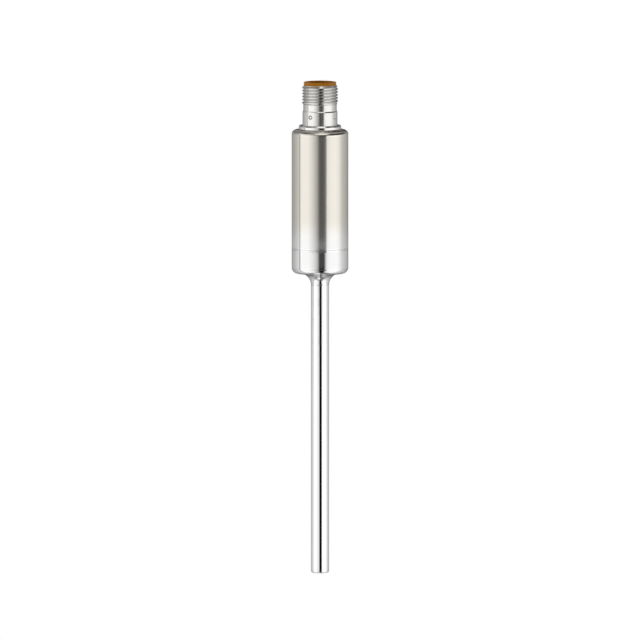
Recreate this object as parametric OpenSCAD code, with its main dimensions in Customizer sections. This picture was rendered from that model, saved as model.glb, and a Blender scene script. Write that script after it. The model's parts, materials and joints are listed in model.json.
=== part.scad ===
// Compact temperature transmitter: a round steel housing with a slim probe below
// and a threaded plug connector with four signal windows on top.
// Sizes are in millimetres. The probe's axis is Z, and Z = 0 is where the straight
// stem leaves the curved neck under the housing.

/* [Probe stem] */
// Length that reaches into the process, from the housing's underside to the tip
insertion_len = 100; // [50:1:250]
// Outer diameter of the stem
stem_d = 6; // [5.6:0.1:8]
// Wall of the stem's tube
stem_wall = 0.5; // [0.4:0.05:0.6]
// Thickness of the cap that closes the tip
tip_cap_t = 1; // [0.8:0.1:2]
// Rounding of the tip's edge
tip_edge_r = 0.6; // [0.2:0.05:0.75]
// Length of the cap's plug inside the tube
tip_plug_len = 1.5; // [0.5:0.1:3]

/* [Housing] */
// Outer diameter of the housing
housing_d = 18.8; // [17.8:0.1:26]
// Wall of the housing
housing_wall = 1; // [0.8:0.05:1.4]
// Length of the satin sleeve, from the weld seam to its top face
sleeve_len = 39.5; // [35:0.1:70]
// Thickness of the sleeve's top
sleeve_top_t = 3; // [2.4:0.1:4]
// Rounding of the sleeve's shoulder
shoulder_r = 1.5; // [0.5:0.1:2]
// Height of the base, from its underside to the weld seam
base_h = 8.4; // [7:0.1:14]
// Thickness of the base's floor
base_floor_t = 2.5; // [2:0.1:4]
// Rounding of the base's lower edge
base_edge_r = 1.9; // [0.5:0.1:2]
// Length of the base's lip inside the sleeve
base_lip_len = 3; // [1.5:0.1:5]
// Radius of the neck's concave curve between underside and stem
neck_r = 4; // [2:0.1:4.6]
// Length of the neck's spigot inside the stem
neck_spigot_len = 3; // [1:0.1:6]
// Wall of the neck's spigot
neck_spigot_wall = 0.5; // [0.4:0.05:0.6]
// Chamfer on both edges of the weld seam
seam_chamfer = 0.12; // [0.05:0.01:0.3]

/* [Connector shell] */
// Outer diameter of the connector thread
thread_d = 12; // [11.6:0.1:14]
// Pitch of the connector thread
thread_pitch = 1; // [0.75:0.05:1.25]
// Length of the connector thread
thread_len = 6.4; // [4:0.1:12]
// Wall of the shell under the thread's root
shell_wall = 0.5; // [0.4:0.05:0.6]
// How far the smooth neck lies inside the thread's crests
neck_relief = 0.43; // [0.3:0.01:0.5]
// Length of the smooth neck under the thread
upper_neck_len = 2.1; // [1:0.1:5]
// How far the window band lies inside the thread's crests
band_relief = 0.2; // [0.1:0.05:0.3]
// Length of the window band
band_len = 4.85; // [4.6:0.05:8]
// Chamfer on the window band's upper edge
band_chamfer = 0.2; // [0.05:0.05:0.2]
// How far the collar stands out past the window band
collar_lip = 1.25; // [0.8:0.05:1.5]
// Height of the collar
collar_h = 1.45; // [1:0.05:3]
// Rounding of the collar's upper edge
collar_edge_r = 0.4; // [0.1:0.05:0.6]
// Rounding of the collar's lower edge
collar_foot_r = 0.3; // [0.1:0.05:0.35]
// Length of the shank below the sleeve's top
shank_tail = 1.5; // [0.5:0.1:3]
// How far the carrier's ledge lies below the window band's upper edge
ledge_drop = 0.4; // [0.2:0.05:0.6]
// Width of the carrier's ledge
ledge_w = 0.35; // [0.2:0.05:0.5]

/* [Signal windows] */
// Diameter of a window
window_d = 1.45; // [1:0.05:1.7]
// Distance from a window's middle to the window band's upper edge
window_drop = 1.95; // [1.4:0.05:2.4]
// Turn of the windows about Z, away from the contacts
window_turn = 11; // [-20:1:20]
// How far a window's face lies inside the window band
window_recess = 0.38; // [0.05:0.01:0.5]
// Width of a signal light
led_w = 1.6; // [1:0.1:2]
// Thickness of a signal light
led_t = 0.7; // [0.4:0.05:0.8]
// Height of a signal light
led_h = 1; // [0.6:0.1:1.4]

/* [Contact carrier] */
// Height of the carrier's rim above the metal
rim_h = 1.06; // [0.8:0.02:2]
// Chamfer on the rim's outer edge
rim_chamfer = 0.12; // [0.05:0.01:0.3]
// Wall of the carrier round its socket
carrier_wall = 0.55; // [0.45:0.05:0.8]
// Thickness of the carrier's floor
carrier_floor_t = 1.45; // [1.3:0.05:2]
// Width of the coding rib in the socket
key_w = 1.6; // [1:0.1:2]
// How far the coding rib reaches into the socket
key_depth = 0.6; // [0.4:0.05:0.8]
// How far the coding rib ends below the rim
key_drop = 1; // [0.5:0.1:2]
// Diameter of the circle that the contact pins stand on
pin_circle_d = 5; // [4.6:0.1:5.4]
// Diameter of a contact pin
pin_d = 1; // [0.8:0.05:1.2]
// How far a contact pin ends below the rim
pin_drop = 1.3; // [1:0.1:2.5]
// Diameter of a contact pin's solder tail
pin_tail_d = 0.8; // [0.6:0.05:0.8]
// Length of a solder tail below the connector board
pin_tail_len = 0.7; // [0.3:0.1:1]

/* [Seals] */
// Width of the groove for the carrier's ring
carrier_groove_w = 0.8; // [0.7:0.05:0.9]
// Depth of the groove for the carrier's ring
carrier_groove_depth = 0.5; // [0.4:0.05:0.6]
// Width of the groove for the shank's ring
shank_groove_w = 1.2; // [1:0.1:1.6]
// Depth of the groove for the shank's ring
shank_groove_depth = 0.8; // [0.5:0.05:0.85]

/* [Electronics] */
// Thickness of the connector board
connector_board_t = 0.8; // [0.6:0.1:1]
// Gap round the connector board
connector_board_gap = 0.1; // [0.05:0.05:0.2]
// Thickness of the main circuit board and of the sensor's board
board_t = 1; // [0.8:0.1:1.2]
// Gap between the circuit board's top and the shell
board_gap = 2; // [1:0.1:4]
// Gap between the circuit board's edges and the holder's wall
board_edge_gap = 0.1; // [0.1:0.05:0.3]
// Chamfer on the circuit board's corners
board_chamfer = 0.6; // [0.2:0.1:1]
// Wall of the board holder
holder_wall = 0.7; // [0.5:0.05:0.9]
// Depth of the holder's guide ribs
rib_depth = 1.3; // [0.8:0.1:1.8]
// Thickness of a guide rib
rib_t = 0.9; // [0.6:0.1:1.4]
// Height of the foot that the circuit board stands on
holder_foot = 1; // [0.5:0.1:2]
// Width of the flexible strip
flex_w = 2.2; // [1.6:0.1:2.4]
// Thickness of the flexible strip
flex_t = 0.15; // [0.1:0.05:0.2]
// Inner radius of the flexible strip's bend
flex_bend_r = 0.6; // [0.4:0.1:0.8]
// Length of the flexible strip on each board
flex_lap = 2; // [1.5:0.1:2.4]

/* [Sensor and leads] */
// Diameter of an insulated lead
lead_d = 0.7; // [0.5:0.05:0.8]
// Distance between the middles of two leads on one face of a board
lead_pitch = 1.7; // [1.5:0.1:1.8]
// Length of a lead's end on a board
lead_lap = 3; // [2:0.1:3.2]
// Diameter of the flange on the lead plug
plug_flange_d = 8; // [6:0.1:10]
// Thickness of the flange on the lead plug
plug_flange_t = 1.4; // [1:0.1:2]
// Length of the lead plug below its flange
plug_len = 4; // [2:0.1:5]
// Width of the sensor's board
sensor_board_w = 3; // [2.6:0.1:3.4]
// Length of the sensor's board
sensor_board_len = 8; // [7:0.1:12]
// Gap between the cap's plug and the sensor's board
sensor_gap = 1; // [0.5:0.1:2]
// Width of the sensor chip
sensor_w = 2; // [1.2:0.1:2.4]
// Thickness of the sensor chip
sensor_t = 0.9; // [0.5:0.1:1.2]
// Length of the sensor chip
sensor_len = 2.3; // [1.5:0.1:3]
// Height of the sensor chip above the lower end of its board
sensor_lift = 0.4; // [0.2:0.1:1]
// Length of the heat-conducting filling in the tip
filler_len = 12; // [10:0.5:20]

/* [Components on the circuit board] */
// Side of the processor's square package
processor_w = 5; // [4.9:0.1:6]
// Thickness of the processor's package
processor_t = 0.85; // [0.6:0.05:1.2]
// Height of the processor's middle above the ends of the leads
processor_up = 10.8; // [10.4:0.1:12]
// Width of the converter's package
converter_w = 4.4; // [3:0.1:5]
// Length of the converter's package
converter_len = 5; // [4.9:0.1:5.6]
// Height of the converter's middle above the ends of the leads
converter_up = 4; // [3.2:0.1:4.4]
// Pads on each side of the processor, and leads on each side of the converter
pads_each_side = 7; // [5:2:7]
// Spacing of those pads and leads
pad_pitch = 0.65; // [0.5:0.05:0.7]
// Width of the output driver's package
driver_w = 6.5; // [5:0.1:7]
// Length of the output driver's package
driver_len = 3.5; // [3:0.1:4]
// Thickness of the output driver's package
driver_t = 1.6; // [1:0.1:2]
// Height of the output driver's middle above the ends of the leads
driver_up = 10.5; // [10.2:0.1:11]
// Width of the protection diode
diode_w = 4.4; // [3:0.1:5]
// Length of the protection diode
diode_len = 2.6; // [1.6:0.1:3]
// Thickness of the protection diode
diode_t = 2; // [1:0.1:2.4]
// Height of the protection diode's middle above the ends of the leads
diode_up = 16.6; // [16.2:0.1:18]
// Width of the storage capacitor
capacitor_w = 6; // [4:0.1:7]
// Length of the storage capacitor
capacitor_len = 3.2; // [2:0.1:3.6]
// Thickness of the storage capacitor
capacitor_t = 2.4; // [1:0.1:2.8]
// Height of the storage capacitor's middle above the ends of the leads
capacitor_up = 4.4; // [2:0.1:4.8]
// Distance of the small components' columns from the board's edges
column_inset = 2.85; // [2.6:0.05:2.95]
// Small resistors in a column
resistor_count = 5; // [1:1:6]
// Spacing of the small resistors
resistor_pitch = 2.6; // [1.2:0.1:3]
// Height of the lowest small resistors above the ends of the leads
resistor_up = 2; // [1:0.1:3]
// Width of a small resistor
resistor_w = 1.6; // [1:0.1:1.6]
// Length of a small resistor
resistor_len = 0.8; // [0.5:0.05:0.8]
// Thickness of a small resistor
resistor_t = 0.45; // [0.3:0.05:0.6]
// Small capacitors in a column
ceramic_count = 4; // [1:1:4]
// Spacing of the small capacitors
ceramic_pitch = 3.9; // [2:0.1:4.2]
// Height of the lowest small capacitors above the ends of the leads
ceramic_up = 2.2; // [1:0.1:3]
// Width of a small capacitor
ceramic_w = 0.9; // [0.5:0.05:1.2]
// Length of a small capacitor
ceramic_len = 1.6; // [1:0.1:2]
// Thickness of a small capacitor
ceramic_t = 0.8; // [0.4:0.05:1]

/* [Hidden] */
$fn = 96;

// How far a cutting shape runs past the face that it cuts
cut = 0.5;
// Clearance all round pieces that slide together
slip = 0.03;
// Clearance all round pieces that are pressed or soldered together
press = 0.01;
// Clearance all round the boards in their guides
guide = 0.05;
// Bevel on the upper edges of a moulded package
package_bevel = 0.15;
// Gap between a moulded package and the circuit board
standoff = 0.1;
// Thickness of bent leads and solder pads
lead_t = 0.15;
// How far a bent lead reaches into its package
lead_root = 0.4;
// How far a solder pad reaches under its package
pad_root = 0.3;
// Share of a bent lead's reach at which it turns down
knee_share = 0.4;
// Depth of a metric thread as a share of its pitch
thread_depth_share = 0.6134;
// Width of the output driver's cooling tab as a share of its package
tab_share = 0.46;
// Width of the diode's leads as a share of its package
diode_lead_share = 0.6;
// Size of the storage capacitor's pads as shares of its package
capacitor_pad_share = [0.23, 0.7];

// Heights along the axis
stem_len = insertion_len - neck_r;
underside_z = neck_r;
base_floor_z = underside_z + base_floor_t;
seam_z = underside_z + base_h;
sleeve_top_z = seam_z + sleeve_len;
sleeve_roof_z = sleeve_top_z - sleeve_top_t;
collar_top_z = sleeve_top_z + collar_h;
band_top_z = collar_top_z + band_len;
upper_neck_top_z = band_top_z + upper_neck_len;
thread_top_z = upper_neck_top_z + thread_len;
rim_top_z = thread_top_z + rim_h;
shell_bottom_z = sleeve_roof_z - shank_tail;
ledge_z = band_top_z - ledge_drop;
window_z = band_top_z - window_drop;
carrier_bottom_z = ledge_z + slip;
socket_floor_z = carrier_bottom_z + carrier_floor_t;
connector_board_top_z = window_z - led_h / 2;
connector_board_z = connector_board_top_z - connector_board_t;
holder_z = seam_z + base_lip_len;
board_z = holder_z + holder_foot;
board_top_z = shell_bottom_z - board_gap;
tip_inner_z = tip_cap_t + tip_plug_len - stem_len;
sensor_board_z = tip_inner_z + sensor_gap;

// Radii about the axis
stem_r = stem_d / 2;
tube_bore_r = stem_r - stem_wall;
neck_spigot_r = tube_bore_r - slip;
neck_bore_r = neck_spigot_r - neck_spigot_wall;
housing_r = housing_d / 2;
sleeve_bore_r = housing_r - housing_wall;
base_lip_r = sleeve_bore_r - slip;
cup_r = base_lip_r - housing_wall;
thread_r = thread_d / 2;
thread_depth = thread_depth_share * thread_pitch;
thread_root_r = thread_r - thread_depth;
shell_bore_r = thread_root_r - shell_wall;
upper_neck_r = thread_r - neck_relief;
band_r = thread_r - band_relief;
collar_r = band_r + collar_lip;
shank_r = band_r;
shank_hole_r = shank_r + slip;
light_bore_r = shell_bore_r - ledge_w;
carrier_r = shell_bore_r - slip;
socket_r = carrier_r - carrier_wall;
connector_board_r = light_bore_r - connector_board_gap;
holder_r = sleeve_bore_r - slip;
holder_bore_r = holder_r - holder_wall;
board_w = 2 * (holder_bore_r - board_edge_gap);
column_x = board_w / 2 - column_inset;
shank_seal_d = shank_groove_depth + slip - press;
carrier_seal_d = carrier_groove_depth + slip - press;

// What rounding takes off an outer corner at [x, z], on the side that sx and sz point to
module corner_round(x, z, sx, sz, r) {
    translate([x, z]) scale([sx, sz]) difference() {
        translate([-r, -r]) square(r + cut);
        translate([-r, -r]) circle(r);
    }
}

// What a 45 degree chamfer takes off an outer corner at [x, z]
module corner_chamfer(x, z, sz, c) {
    translate([x, z]) scale([1, sz]) polygon([[-c, cut], [-c, 0], [0, -c], [cut, -c], [cut, cut]]);
}

// A band of the half section, from radius r1 to r2 and from height z1 to z2
module band(r1, r2, z1, z2) {
    translate([r1, z1]) square([r2 - r1, z2 - z1]);
}

// Places a piece at radius r and angle a about the axis
module around(r, a) {
    rotate([0, 0, a]) translate([r, 0, 0]) children();
}

// The angle of window i, counted from 1
function window_angle(i) = 45 + window_turn + 90 * (i - 1);

// The angle of contact i, counted from 1
function pin_angle(i) = 45 + 90 * (i - 1);

// The place of lead i, counted from 1: two lie on each face of the boards
function lead_place(i) = [
    (i % 2 == 0 ? 1 : -1) * lead_pitch / 2,
    (i > 2 ? 1 : -1) * (board_t / 2 + lead_d / 2 + press)
];

// The bore of a window, lying along X
module window_bore(r, r1, r2) {
    translate([r1, 0, window_z]) rotate([0, 90, 0]) cylinder(r = r, h = r2 - r1);
}

// Turned shell: shank, collar, window band, smooth neck and thread over one stepped bore
module connector_shell() {
    color("silver") difference() {
        rotate_extrude() difference() {
            union() {
                band(0, shank_r, shell_bottom_z, collar_top_z);
                band(0, collar_r, sleeve_top_z, collar_top_z);
                band(0, band_r, sleeve_top_z, band_top_z);
                band(0, upper_neck_r, sleeve_top_z, thread_top_z);
                thread_body();
            }
            corner_round(collar_r, collar_top_z, 1, 1, collar_edge_r);
            corner_round(collar_r, sleeve_top_z, 1, -1, collar_foot_r);
            corner_chamfer(band_r, band_top_z, 1, band_chamfer);
            band(0, light_bore_r, shell_bottom_z - cut, ledge_z + cut);
            band(0, shell_bore_r, ledge_z, thread_top_z + cut);
            shank_groove();
        }
        for (i = [1:4])
            rotate([0, 0, window_angle(i)])
                window_bore(window_d / 2, light_bore_r / 2, band_r + cut);
    }
}

// Half section of the thread as a plain cylinder, with its lead-in and run-out cones
module thread_body() {
    polygon([
        [0, upper_neck_top_z],
        [upper_neck_r, upper_neck_top_z],
        [thread_r, upper_neck_top_z + neck_relief],
        [thread_r, thread_top_z - thread_depth],
        [thread_root_r, thread_top_z],
        [0, thread_top_z]
    ]);
}

// Half section of the ring groove in the middle of the sleeve's top
module shank_groove() {
    middle_z = sleeve_top_z - sleeve_top_t / 2;
    band(shank_r - shank_groove_depth, shank_r + cut,
        middle_z - shank_groove_w / 2, middle_z + shank_groove_w / 2);
}

// Satin sleeve with a rounded shoulder, bored through its top for the shell's shank
module housing_sleeve() {
    color("lightgray") rotate_extrude() difference() {
        band(0, housing_r, seam_z, sleeve_top_z);
        band(0, sleeve_bore_r, seam_z - cut, sleeve_roof_z);
        band(0, shank_hole_r, sleeve_roof_z - cut, sleeve_top_z + cut);
        corner_round(housing_r, sleeve_top_z, 1, 1, shoulder_r);
        corner_chamfer(housing_r, seam_z, -1, seam_chamfer);
    }
}

// Polished base: a cup with a lip for the sleeve, whose underside sweeps into the stem
module housing_base() {
    color("gainsboro") rotate_extrude() difference() {
        union() {
            difference() {
                band(0, housing_r, underside_z, seam_z);
                corner_round(housing_r, underside_z, 1, -1, base_edge_r);
                corner_chamfer(housing_r, seam_z, 1, seam_chamfer);
            }
            band(0, base_lip_r, base_floor_z, holder_z);
            neck_sweep();
            band(0, stem_r, 0, base_floor_z);
            band(0, neck_spigot_r, -neck_spigot_len, base_floor_z);
        }
        band(0, cup_r, base_floor_z, holder_z + cut);
        band(0, neck_bore_r, -neck_spigot_len - cut, base_floor_z + cut);
    }
}

// Half section of the neck: a square corner filled up to a concave quarter circle
module neck_sweep() {
    difference() {
        band(0, stem_r + neck_r, 0, base_floor_z);
        translate([stem_r + neck_r, 0]) circle(neck_r);
        band(stem_r + neck_r, housing_r, -cut, base_floor_z + cut);
    }
}

// Stem tube, from the neck down to its welded cap
module probe_tube() {
    color("gainsboro") rotate_extrude()
        band(tube_bore_r, stem_r, tip_cap_t - stem_len, 0);
}

// Cap that closes the stem, with a plug inside the tube and a rounded edge
module tip_cap() {
    color("gainsboro") rotate_extrude() difference() {
        union() {
            band(0, stem_r, -stem_len, tip_cap_t - stem_len);
            band(0, tube_bore_r - slip, -stem_len, tip_inner_z);
        }
        corner_round(stem_r, -stem_len, 1, -1, tip_edge_r);
    }
}

// Moulded carrier: a deep socket with a rim on the metal, a coding rib and a ring groove
module contact_carrier() {
    groove_z = carrier_bottom_z + carrier_floor_t / 2;
    color("peru") difference() {
        union() {
            rotate_extrude() difference() {
                union() {
                    band(0, carrier_r, carrier_bottom_z, rim_top_z);
                    band(0, thread_root_r, thread_top_z, rim_top_z);
                }
                corner_chamfer(thread_root_r, rim_top_z, 1, rim_chamfer);
                band(0, socket_r, socket_floor_z, rim_top_z + cut);
                band(carrier_r - carrier_groove_depth, carrier_r + cut,
                    groove_z - carrier_groove_w / 2, groove_z + carrier_groove_w / 2);
            }
            coding_rib();
        }
        for (i = [1:4])
            around(pin_circle_d / 2, pin_angle(i))
                translate([0, 0, carrier_bottom_z - cut])
                    cylinder(d = pin_d + 2 * press, h = carrier_floor_t + 2 * cut);
    }
}

// Rib on the socket's wall that lets the plug in only one way round
module coding_rib() {
    root = carrier_wall / 2;
    around(socket_r - key_depth, -90)
        translate([0, -key_w / 2, socket_floor_z])
            cube([key_depth + root, key_w, rim_top_z - key_drop - socket_floor_z]);
}

// Gilded pin with a chamfered nose above and a thinner solder tail below
module contact_pin(i) {
    nose = pin_d / 4;
    top_z = rim_top_z - pin_drop;
    color("gold") around(pin_circle_d / 2, pin_angle(i)) rotate_extrude() polygon([
        [0, connector_board_z - pin_tail_len],
        [pin_tail_d / 2, connector_board_z - pin_tail_len],
        [pin_tail_d / 2, carrier_bottom_z],
        [pin_d / 2, carrier_bottom_z],
        [pin_d / 2, top_z - nose],
        [pin_d / 2 - nose, top_z],
        [0, top_z]
    ]);
}

// Rubber ring between the carrier and the shell
module carrier_seal() {
    color("dimgray") translate([0, 0, carrier_bottom_z + carrier_floor_t / 2])
        rotate_extrude() translate([shell_bore_r - press / 2 - carrier_seal_d / 2, 0])
            circle(d = carrier_seal_d);
}

// Rubber ring between the shell's shank and the sleeve
module shell_seal() {
    color("dimgray") translate([0, 0, sleeve_top_z - sleeve_top_t / 2])
        rotate_extrude() translate([shank_hole_r - press / 2 - shank_seal_d / 2, 0])
            circle(d = shank_seal_d);
}

// Clear plug that closes a window's bore
module led_window(i) {
    color("white", 0.6) rotate([0, 0, window_angle(i)])
        window_bore(window_d / 2 - press, light_bore_r, band_r - window_recess);
}

// Signal light that stands on the connector board behind its window
module status_led(i) {
    color("palegreen")
        around(connector_board_r - connector_board_gap - led_t, window_angle(i))
            translate([0, -led_w / 2, connector_board_top_z]) cube([led_t, led_w, led_h]);
}

// Round board that joins the contact pins and carries the signal lights
module connector_board() {
    color("seagreen") difference() {
        translate([0, 0, connector_board_z])
            cylinder(r = connector_board_r, h = connector_board_t);
        for (i = [1:4])
            around(pin_circle_d / 2, pin_angle(i))
                translate([0, 0, connector_board_z - cut])
                    cylinder(d = pin_tail_d + 2 * press, h = connector_board_t + 2 * cut);
    }
}

// Flexible strip from the circuit board's face up to the connector board's underside
module flex_strip() {
    face_y = -board_t / 2;
    bend_y = face_y - flex_t - flex_bend_r;
    bend_z = connector_board_z - flex_t - flex_bend_r;
    color("orange") rotate([90, 0, 90]) translate([0, 0, -flex_w / 2])
        linear_extrude(height = flex_w) {
            translate([face_y - flex_t, board_top_z - flex_lap])
                square([flex_t, bend_z - board_top_z + flex_lap]);
            intersection() {
                translate([bend_y, bend_z]) difference() {
                    circle(flex_bend_r + flex_t);
                    circle(flex_bend_r);
                }
                translate([bend_y, bend_z]) square(2 * flex_bend_r);
            }
            translate([bend_y - flex_lap, connector_board_z - flex_t])
                square([flex_lap, flex_t]);
        }
}

// Moulded liner with a guide for each edge of the circuit board and a foot under it
module board_holder() {
    guide_y = board_t + 2 * guide;
    rib_y = guide_y + 2 * rib_t;
    guide_h = board_top_z - board_z;
    color("whitesmoke") difference() {
        union() {
            rotate_extrude() band(holder_bore_r, holder_r, holder_z, sleeve_roof_z - slip);
            intersection() {
                translate([0, 0, holder_z])
                    cylinder(r = holder_bore_r + holder_wall / 2, h = holder_foot + guide_h);
                for (a = [0, 180])
                    around(holder_bore_r - rib_depth, a)
                        translate([0, -rib_y / 2, holder_z])
                            cube([rib_depth + holder_wall, rib_y, holder_foot + guide_h]);
            }
        }
        translate([-board_w / 2 - guide, -guide_y / 2, board_z])
            cube([board_w + 2 * guide, guide_y, guide_h + cut]);
    }
}

// Main circuit board, standing in the holder's guides
module circuit_board() {
    board_len = board_top_z - board_z;
    color("seagreen") translate([0, board_t / 2, board_z]) rotate([90, 0, 0])
        linear_extrude(height = board_t) polygon([
            [-board_w / 2, board_chamfer],
            [-board_w / 2 + board_chamfer, 0],
            [board_w / 2 - board_chamfer, 0],
            [board_w / 2, board_chamfer],
            [board_w / 2, board_len - board_chamfer],
            [board_w / 2 - board_chamfer, board_len],
            [-board_w / 2 + board_chamfer, board_len],
            [-board_w / 2, board_len - board_chamfer]
        ]);
}

// Turns a component that is drawn lying on z = 0 onto a face of the circuit board: side
// is -1 for the front and 1 for the back, and up is counted from the ends of the leads
module on_board(side, x, up) {
    translate([x, side * board_t / 2, board_z + lead_lap + up])
        rotate([90, 0, side < 0 ? 0 : 180]) children();
}

// Half outline of a package seen from its end, with bevelled upper edges
module package_end(w, t) {
    polygon([
        [-w / 2, 0],
        [w / 2, 0],
        [w / 2, t - package_bevel],
        [w / 2 - package_bevel, t],
        [-w / 2 + package_bevel, t],
        [-w / 2, t - package_bevel]
    ]);
}

// Moulded package, w across, l along and t thick, just clear of the board
module package(w, l, t) {
    translate([0, 0, standoff]) intersection() {
        rotate([90, 0, 0]) translate([0, 0, -l / 2]) linear_extrude(height = l) package_end(w, t);
        rotate([90, 0, 90]) translate([0, 0, -w / 2]) linear_extrude(height = w) package_end(l, t);
    }
}

// A row of n bent leads along Y. Each leaves a package whose side is at x = 0, at height
// lift, drops to the board and ends at x = reach.
module bent_leads(n, pitch, reach, width, lift) {
    knee = reach * knee_share;
    for (k = [0:n - 1])
        translate([0, (k - (n - 1) / 2) * pitch + width / 2, 0]) rotate([90, 0, 0])
            linear_extrude(height = width) polygon([
                [-lead_root, lift + lead_t],
                [-lead_root, lift],
                [knee, lift],
                [knee, 0],
                [reach, 0],
                [reach, lead_t],
                [knee + lead_t, lead_t],
                [knee + lead_t, lift + lead_t]
            ]);
}

// Flat square package with solder pads under all four sides
module processor_chip() {
    pad_w = pad_pitch / 2;
    color("dimgray") on_board(-1, 0, processor_up) {
        package(processor_w, processor_w, processor_t);
        for (a = [0:90:270], k = [0:pads_each_side - 1])
            rotate([0, 0, a])
                translate([processor_w / 2 - pad_root, (k - (pads_each_side - 1) / 2) * pad_pitch, 0])
                    translate([0, -pad_w / 2, 0]) cube([pad_root + press, pad_w, standoff + lead_t]);
    }
}

// Package with a row of bent leads on each side
module converter_chip() {
    reach = 1;
    color("dimgray") on_board(-1, 0, converter_up) {
        package(converter_w, converter_len, processor_t);
        for (a = [0, 180])
            rotate([0, 0, a]) translate([converter_w / 2, 0, 0])
                bent_leads(pads_each_side, pad_pitch, reach, pad_pitch / 2, processor_t / 2);
    }
}

// Power package with a wide cooling tab on one side and three leads on the other
module loop_driver() {
    reach = 1.7;
    tab_w = driver_w * tab_share;
    color("dimgray") on_board(1, 0, driver_up) {
        package(driver_w, driver_len, driver_t);
        rotate([0, 0, 90]) translate([driver_len / 2, 0, 0])
            bent_leads(1, 1, reach, tab_w, driver_t / 3);
        rotate([0, 0, 270]) translate([driver_len / 2, 0, 0])
            bent_leads(3, driver_w / 3, reach, tab_w / 4, driver_t / 3);
    }
}

// Moulded diode with a flat lead folded down at each end
module protection_diode() {
    reach = 0.5;
    color("dimgray") on_board(1, 0, diode_up) {
        package(diode_w, diode_len, diode_t);
        for (a = [0, 180])
            rotate([0, 0, a]) translate([diode_w / 2, 0, 0])
                bent_leads(1, 1, reach, diode_len * diode_lead_share, diode_t / 2);
    }
}

// Moulded capacitor that carries the supply over short gaps, with a pad under each end
module storage_capacitor() {
    pad_w = capacitor_w * capacitor_pad_share[0];
    pad_len = capacitor_len * capacitor_pad_share[1];
    color("goldenrod") on_board(1, 0, capacitor_up) {
        package(capacitor_w, capacitor_len, capacitor_t);
        for (x = [-capacitor_w / 2, capacitor_w / 2 - pad_w])
            translate([x, -pad_len / 2, 0]) cube([pad_w, pad_len, standoff + lead_t]);
    }
}

// Two columns of n small block-shaped components on one face of the board
module small_parts(side, up, n, pitch, size) {
    for (x = [-column_x, column_x], k = [0:n - 1])
        on_board(side, x, up + k * pitch) translate([-size[0] / 2, -size[1] / 2, 0]) cube(size);
}

// Small resistors along both edges of the front face
module chip_resistors() {
    color("black") small_parts(-1, resistor_up, resistor_count, resistor_pitch,
        [resistor_w, resistor_len, resistor_t]);
}

// Small capacitors along both edges of the back face
module chip_capacitors() {
    color("tan") small_parts(1, ceramic_up, ceramic_count, ceramic_pitch,
        [ceramic_w, ceramic_len, ceramic_t]);
}

// Soft plug with a flange on the base's floor, which guides the leads into the neck
module lead_plug() {
    color("gray") difference() {
        union() {
            translate([0, 0, base_floor_z]) cylinder(d = plug_flange_d, h = plug_flange_t);
            translate([0, 0, base_floor_z - plug_len])
                cylinder(r = neck_bore_r - press, h = plug_len + plug_flange_t / 2);
        }
        for (i = [1:4])
            translate([lead_place(i)[0], lead_place(i)[1], base_floor_z - plug_len - cut])
                cylinder(d = lead_d + 2 * press, h = plug_len + plug_flange_t + 2 * cut);
    }
}

// Insulated lead, from the sensor's board up to the circuit board
module lead_wire(i) {
    from_z = sensor_board_z + sensor_board_len - lead_lap;
    color(i > 2 ? "white" : "firebrick")
        translate([lead_place(i)[0], lead_place(i)[1], from_z])
            cylinder(d = lead_d, h = board_z + lead_lap - from_z);
}

// Narrow board in the tip that joins the sensor chip to the leads
module sensor_board() {
    color("seagreen") translate([-sensor_board_w / 2, -board_t / 2, sensor_board_z])
        cube([sensor_board_w, board_t, sensor_board_len]);
}

// Thin-film sensor chip on the lower end of its board
module sensor_element() {
    color("white")
        translate([-sensor_w / 2, -board_t / 2 - sensor_t, sensor_board_z + sensor_lift])
            cube([sensor_w, sensor_t, sensor_len]);
}

// Heat-conducting filling, cast round the sensor, its board and the ends of the leads
module tip_filler() {
    color("lightsteelblue") difference() {
        translate([0, 0, tip_inner_z]) cylinder(r = tube_bore_r, h = filler_len);
        translate([-sensor_board_w / 2, -board_t / 2, sensor_board_z])
            cube([sensor_board_w, board_t, sensor_board_len]);
        translate([-sensor_w / 2, -board_t / 2 - sensor_t, sensor_board_z + sensor_lift])
            cube([sensor_w, sensor_t + press, sensor_len]);
        for (i = [1:4])
            translate([lead_place(i)[0], lead_place(i)[1], sensor_board_z + sensor_board_len - lead_lap])
                cylinder(d = lead_d + 2 * press, h = filler_len);
    }
}

connector_shell();
housing_sleeve();
housing_base();
probe_tube();
tip_cap();
contact_carrier();
contact_pin(1);  // contact_pin_1
contact_pin(2);  // contact_pin_2
contact_pin(3);  // contact_pin_3
contact_pin(4);  // contact_pin_4
carrier_seal();
shell_seal();
led_window(1);  // led_window_1
led_window(2);  // led_window_2
led_window(3);  // led_window_3
led_window(4);  // led_window_4
status_led(1);  // status_led_1
status_led(2);  // status_led_2
status_led(3);  // status_led_3
status_led(4);  // status_led_4
connector_board();
flex_strip();
board_holder();
circuit_board();
processor_chip();
converter_chip();
loop_driver();
protection_diode();
storage_capacitor();
chip_resistors();
chip_capacitors();
lead_plug();
lead_wire(1);  // lead_wire_1
lead_wire(2);  // lead_wire_2
lead_wire(3);  // lead_wire_3
lead_wire(4);  // lead_wire_4
sensor_board();
sensor_element();
tip_filler();
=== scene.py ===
"""Compact temperature transmitter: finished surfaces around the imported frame.

The visible steel pieces are surfaces of revolution and a helical thread, worked out as whole
arrays. Everything is in metres, in the frame's own axes: the probe's axis is Z, and -Y is the
front. The contact carrier, its pins and the inner pieces keep their solids and get finishes.
"""

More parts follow.
